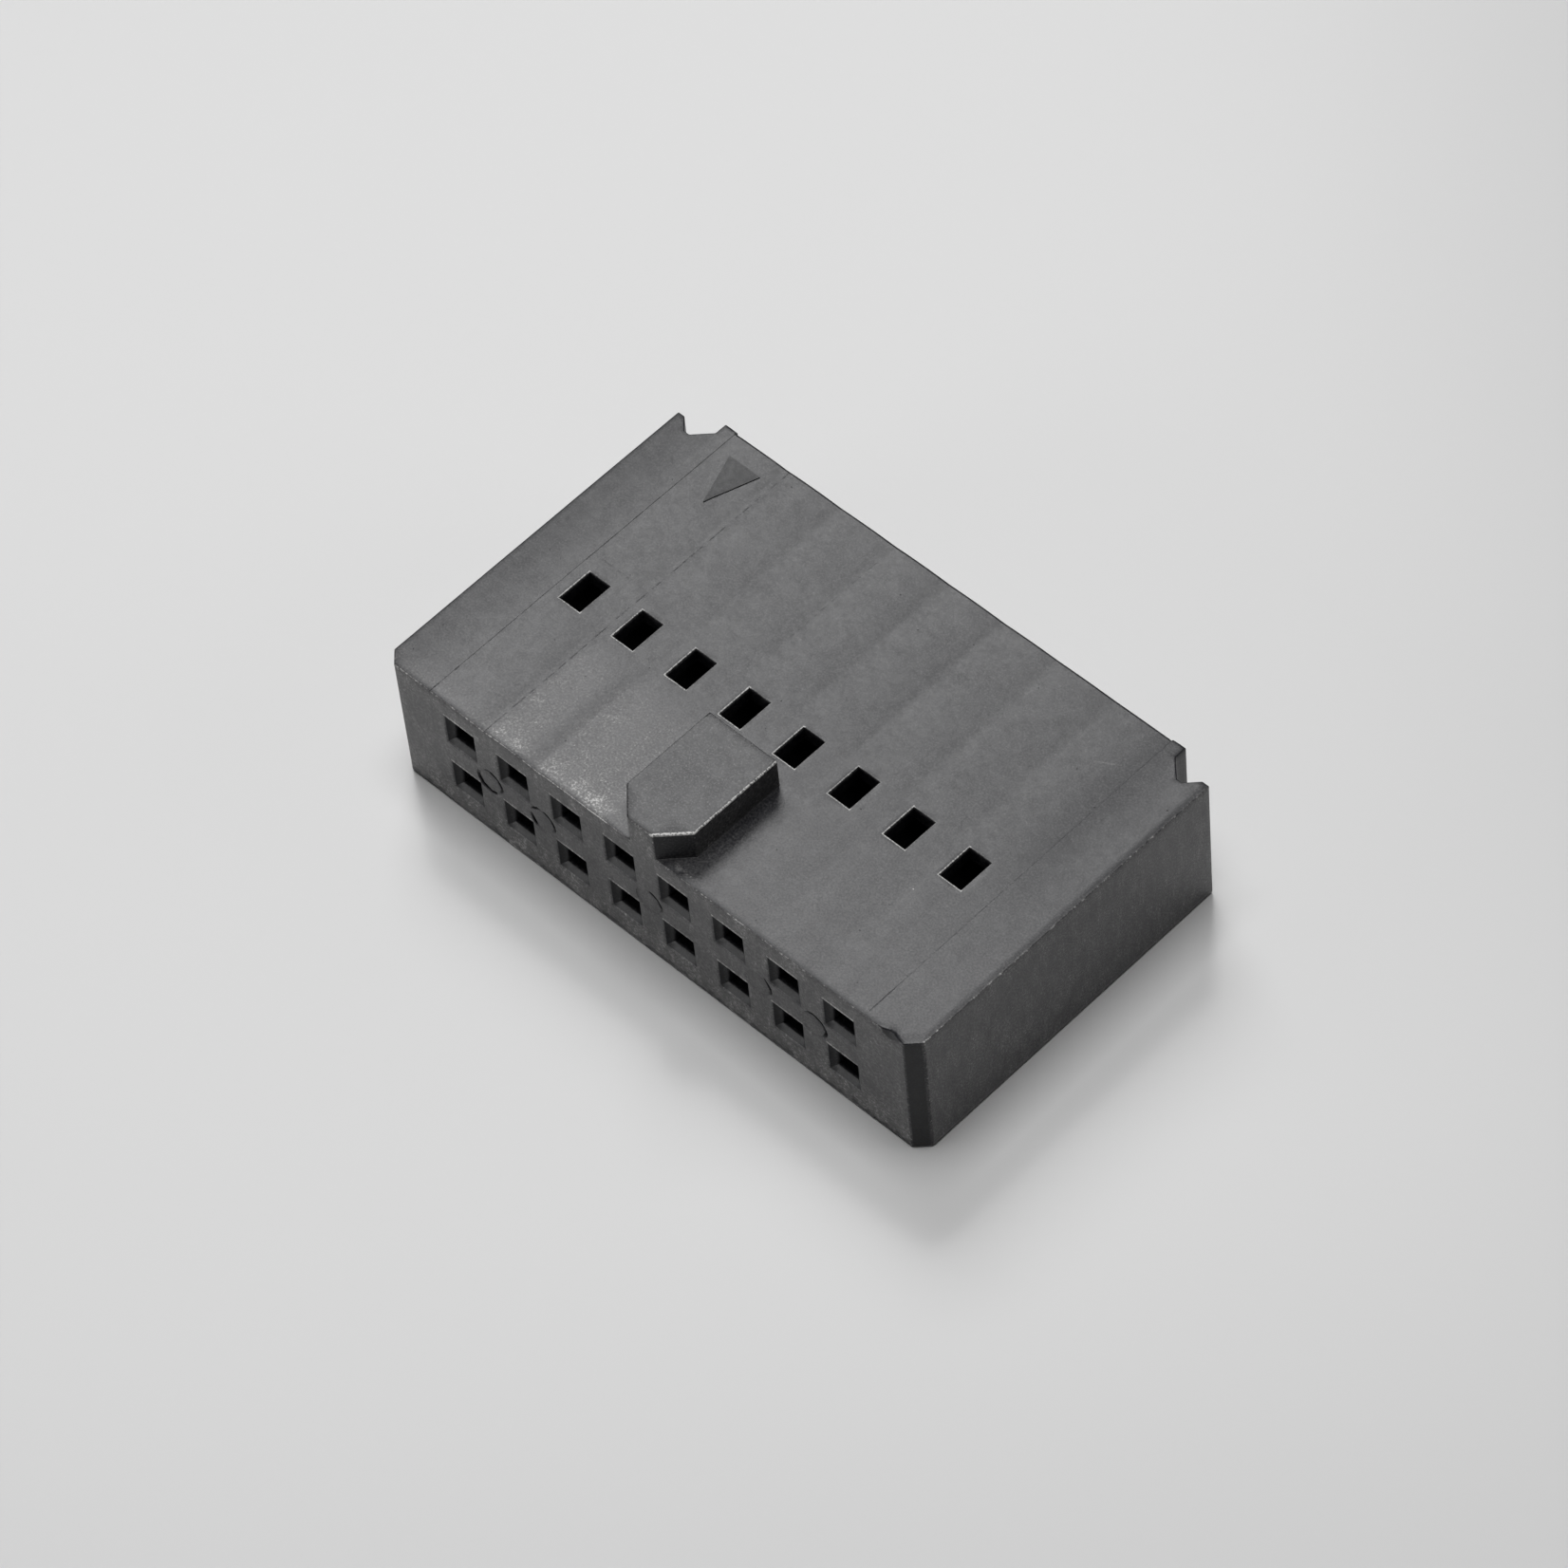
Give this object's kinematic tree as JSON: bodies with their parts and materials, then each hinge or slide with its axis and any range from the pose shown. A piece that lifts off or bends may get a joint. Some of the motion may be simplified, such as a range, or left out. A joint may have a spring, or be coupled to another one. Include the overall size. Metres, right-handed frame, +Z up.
{
  "type": "two-row crimp connector housing",
  "caption": "Moulded two-row socket housing for crimped wire contacts, with square pin entries in front, latch windows, open wire bays behind and a polarising key on top.",
  "frame": {"origin": "middle of the footprint, on the plane of the underside", "axes": "+X along the contact rows, away from the first contact; +Y from the mating face to the wire side; +Z up, to the side with the key"},
  "size_m": [0.0248, 0.015, 0.0073],
  "materials": {
    "housing": "black glass-filled plastic, fine matt mould finish, slightly scuffed to grey"
  },
  "bodies": {
    "root": {"housing": "housing"}
  },
  "joints": []
}
